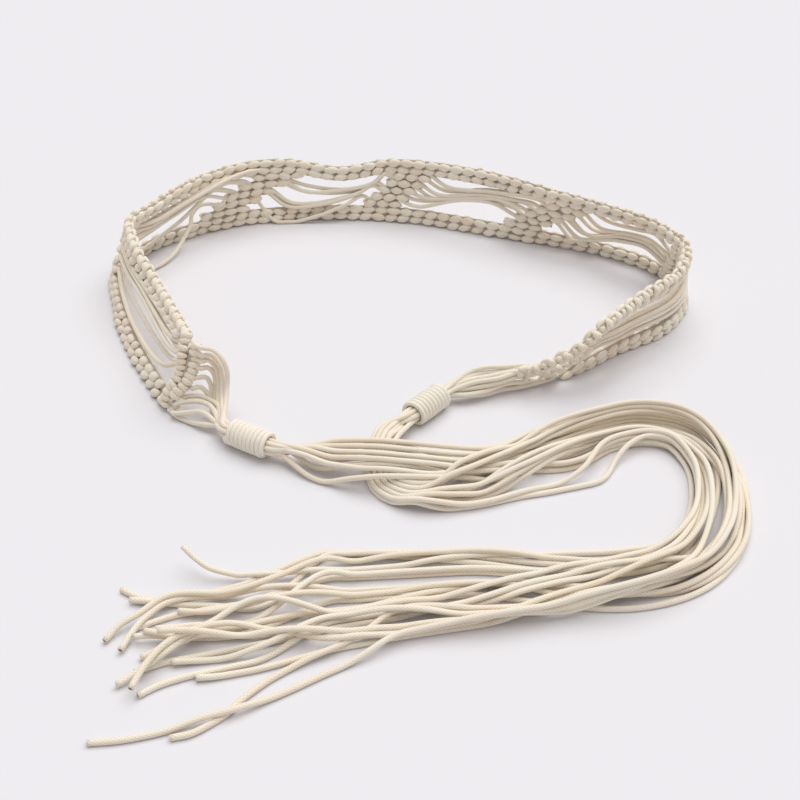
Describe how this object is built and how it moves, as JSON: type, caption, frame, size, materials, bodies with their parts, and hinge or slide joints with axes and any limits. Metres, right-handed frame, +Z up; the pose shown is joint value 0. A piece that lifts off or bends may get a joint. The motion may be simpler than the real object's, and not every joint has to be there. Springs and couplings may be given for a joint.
{
  "type": "rope belt",
  "caption": "Knotted cotton cord waist belt standing as an open ring, with slanted knotted bars, open windows, whipped ends and long cord tassels.",
  "frame": {"origin": "middle of the laid-out belt in plan, on the surface it rests on", "axes": "+Z up from the surface, +Y from the tassels towards the back of the waist ring, +X to the wearer's left-hand tassel bend"},
  "size_m": [0.3565, 0.4452, 0.0441],
  "materials": {
    "knotted_cord": "natural braided cotton cord, knotted",
    "loose_cord": "natural braided cotton cord, soft sheen",
    "whipping": "natural cotton cord, tightly wound"
  },
  "bodies": {
    "root": {"knotted_band": "knotted_cord", "left_gather": "loose_cord", "right_gather": "loose_cord", "left_wrap": "whipping", "right_wrap": "whipping", "left_tassel": "loose_cord", "right_tassel": "loose_cord"}
  },
  "joints": []
}
